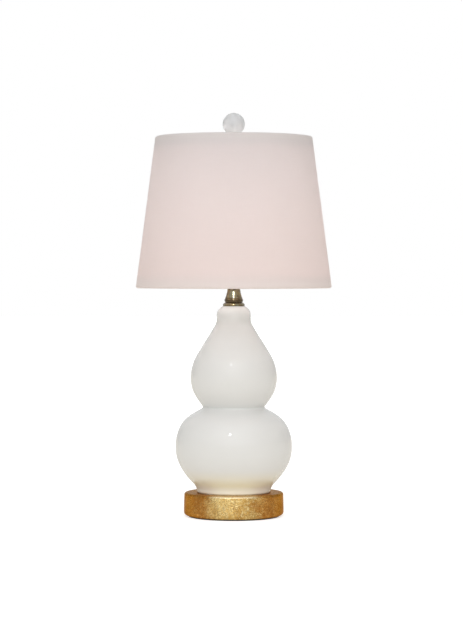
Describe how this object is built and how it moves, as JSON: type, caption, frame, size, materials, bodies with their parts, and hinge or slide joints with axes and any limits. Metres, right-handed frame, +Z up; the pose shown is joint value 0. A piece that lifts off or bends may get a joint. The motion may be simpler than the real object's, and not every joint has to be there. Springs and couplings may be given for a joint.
{
  "type": "table lamp",
  "caption": "Table lamp: white porcelain double gourd body on a round gold-leafed plinth, brass neck, tapered drum fabric shade on a harp, and a ball finial.",
  "frame": {"origin": "centre of the felt pad's underside, on the table", "axes": "+Z up along the lamp pipe, -Y to the viewer (front of the lamp), +X to the right, where the switch knob points; the cord hole is at the back (+Y)"},
  "size_m": [0.2538, 0.2538, 0.5234],
  "materials": {
    "felt": "dense felt pad",
    "gold_leaf": "turned wood under crinkled gold leaf, satin clear coat",
    "porcelain": "white porcelain under clear gloss glaze",
    "antique_brass": "antique brass, dark patina rubbed bright on the edges",
    "zinc_steel": "zinc plated steel",
    "brass_plate": "steel with polished brass plating",
    "socket_brass": "drawn brass, satin",
    "plain_brass": "bare brass contacts",
    "phenolic": "moulded phenolic",
    "knob_plastic": "moulded black plastic",
    "grommet": "moulded nylon bushing",
    "gasket_rubber": "translucent off-white rubber",
    "turned_wood": "plain turned hardwood",
    "liner_card": "pressed insulating paperboard",
    "bulb_frost": "frosted white envelope",
    "cap_aluminium": "drawn aluminium screw cap",
    "black_glass": "black vitrite insulator",
    "shade_cloth": "off-white linen-look cloth, lightly blush",
    "shade_sheet": "white translucent styrene lining",
    "finial_white": "glossy white ball"
  },
  "bodies": {
    "lamp": {"base_felt": "felt", "base_plinth": "gold_leaf", "cord_bushing": "grommet", "lamp_pipe": "zinc_steel", "pipe_washer": "zinc_steel", "lock_washer": "zinc_steel", "pipe_nut": "zinc_steel", "foot_gasket": "gasket_rubber", "foot_bushing": "turned_wood", "gourd_body": "porcelain", "check_ring": "antique_brass", "brass_neck": "antique_brass", "harp_saddle": "brass_plate", "socket_cap": "socket_brass", "cap_set_screw": "zinc_steel", "socket_shell": "socket_brass", "socket_liner": "liner_card", "socket_base_lower": "phenolic", "socket_base_upper": "phenolic", "terminal_screws": "plain_brass", "screw_shell": "plain_brass", "centre_contact": "plain_brass", "harp_bow": "brass_plate", "harp_stud": "brass_plate"},
    "switch": {"switch_rotor": "phenolic", "switch_shaft": "plain_brass", "switch_knob": "knob_plastic"},
    "ferrule_front": {"harp_ferrule_front": "brass_plate"},
    "ferrule_rear": {"harp_ferrule_rear": "brass_plate"},
    "shade": {"spider_fitter": "brass_plate", "top_ring": "zinc_steel", "bottom_ring": "zinc_steel", "shade_liner": "shade_sheet", "shade_cover": "shade_cloth"},
    "finial_thread": {"finial_insert": "plain_brass"},
    "finial": {"finial_base": "antique_brass", "finial_ball": "finial_white"},
    "bulb_thread": {"bulb_contact": "plain_brass"},
    "bulb": {"bulb_insulator": "black_glass", "bulb_cap": "cap_aluminium", "bulb_glass": "bulb_frost"}
  },
  "joints": [
    {"name": "switch_turn", "type": "hinge", "parent": "lamp", "child": "switch", "pos_m": [0, 0, 0.327], "axis": [1, 0, 0], "continuous": true},
    {"name": "ferrule_front_slide", "type": "slide", "parent": "lamp", "child": "ferrule_front", "axis": [0, 0, 1], "range_m": [0, 0.014]},
    {"name": "ferrule_rear_slide", "type": "slide", "parent": "lamp", "child": "ferrule_rear", "axis": [0, 0, 1], "range_m": [0, 0.014]},
    {"name": "shade_turn", "type": "hinge", "parent": "lamp", "child": "shade", "pos_m": [0, 0, 0.4768], "axis": [0, 0, 1], "continuous": true},
    {"name": "finial_lift", "type": "slide", "parent": "lamp", "child": "finial_thread", "axis": [0, 0, 1], "range_m": [0, 0.0125]},
    {"name": "finial_turn", "type": "hinge", "parent": "finial_thread", "child": "finial", "pos_m": [0, 0, 0.4775], "axis": [0, 0, 1], "range_deg": [0, 4790]},
    {"name": "bulb_lift", "type": "slide", "parent": "lamp", "child": "bulb_thread", "axis": [0, 0, 1], "range_m": [0, 0.0146]},
    {"name": "bulb_turn", "type": "hinge", "parent": "bulb_thread", "child": "bulb", "pos_m": [0, 0, 0.34], "axis": [0, 0, 1], "range_deg": [0, 1452]}
  ],
  "couplings": [
    {"joint": "finial_turn", "follows": "finial_lift", "rad_per_m": 6679},
    {"joint": "bulb_turn", "follows": "bulb_lift", "rad_per_m": 1731.6}
  ]
}
